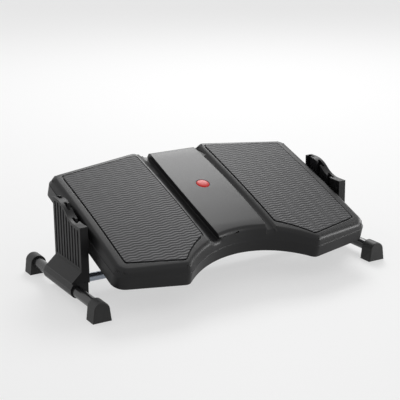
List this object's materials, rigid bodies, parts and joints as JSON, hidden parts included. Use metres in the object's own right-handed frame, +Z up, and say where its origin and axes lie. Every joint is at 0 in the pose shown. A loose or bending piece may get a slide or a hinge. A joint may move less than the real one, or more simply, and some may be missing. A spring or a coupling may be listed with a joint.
{
  "type": "tilting footrest",
  "caption": "Under desk footrest with a rocking platform on a rod that rests in stepped seats of two uprights, on tubular runners with rubber feet",
  "frame": {"origin": "on the floor, at the middle of the whole footrest's footprint", "axes": "+X to the right across the footrest, +Y from the user's heels towards the toes, +Z up"},
  "size_m": [0.5, 0.2798, 0.1621],
  "materials": {
    "platform_black": "fine grained moulded plastic",
    "pad_rubber": "fine wavy ridges",
    "red_plastic": "glossy",
    "bright_steel": "plain drawn steel",
    "zinc_steel": "zinc plated",
    "black_screw": "black oxide",
    "bush_nylon": "natural nylon",
    "upright_black": "moulded, lightly grained",
    "saddle_black": "moulded, smooth",
    "tube_black": "satin powder coat",
    "bar_steel": "bluish grey plated",
    "foot_rubber": "matte"
  },
  "bodies": {
    "stand": {"left_upright_cradle": "upright_black", "right_upright_cradle": "upright_black", "left_upright_cover": "upright_black", "right_upright_cover": "upright_black", "upright_screws": "black_screw", "left_tube_saddle": "saddle_black", "right_tube_saddle": "saddle_black", "saddle_screws": "black_screw", "left_foot_tube": "tube_black", "right_foot_tube": "tube_black", "front_left_foot_cap": "foot_rubber", "front_right_foot_cap": "foot_rubber", "rear_left_foot_cap": "foot_rubber", "rear_right_foot_cap": "foot_rubber", "cross_bar": "bar_steel", "cross_bar_screws": "black_screw"},
    "height_carriage": {"pivot_rod": "bright_steel", "left_rod_end": "zinc_steel", "right_rod_end": "zinc_steel", "rod_end_screws": "black_screw", "left_rod_clip": "zinc_steel", "right_rod_clip": "zinc_steel", "left_spring_washer": "zinc_steel", "right_spring_washer": "zinc_steel"},
    "platform": {"platform_shell": "platform_black", "left_foot_pad": "pad_rubber", "right_foot_pad": "pad_rubber", "centre_cap": "red_plastic", "left_pivot_bush": "bush_nylon", "right_pivot_bush": "bush_nylon", "left_pivot_bracket": "zinc_steel", "right_pivot_bracket": "zinc_steel", "bracket_screws": "black_screw"}
  },
  "joints": [
    {"name": "seat_height", "type": "slide", "parent": "stand", "child": "height_carriage", "axis": [0, 0, 1], "range_m": [0, 0.019]},
    {"name": "platform_tilt", "type": "hinge", "parent": "height_carriage", "child": "platform", "pos_m": [0, -0.014, 0.0893], "axis": [1, 0, 0], "range_deg": [-19.3, 10.7]}
  ]
}
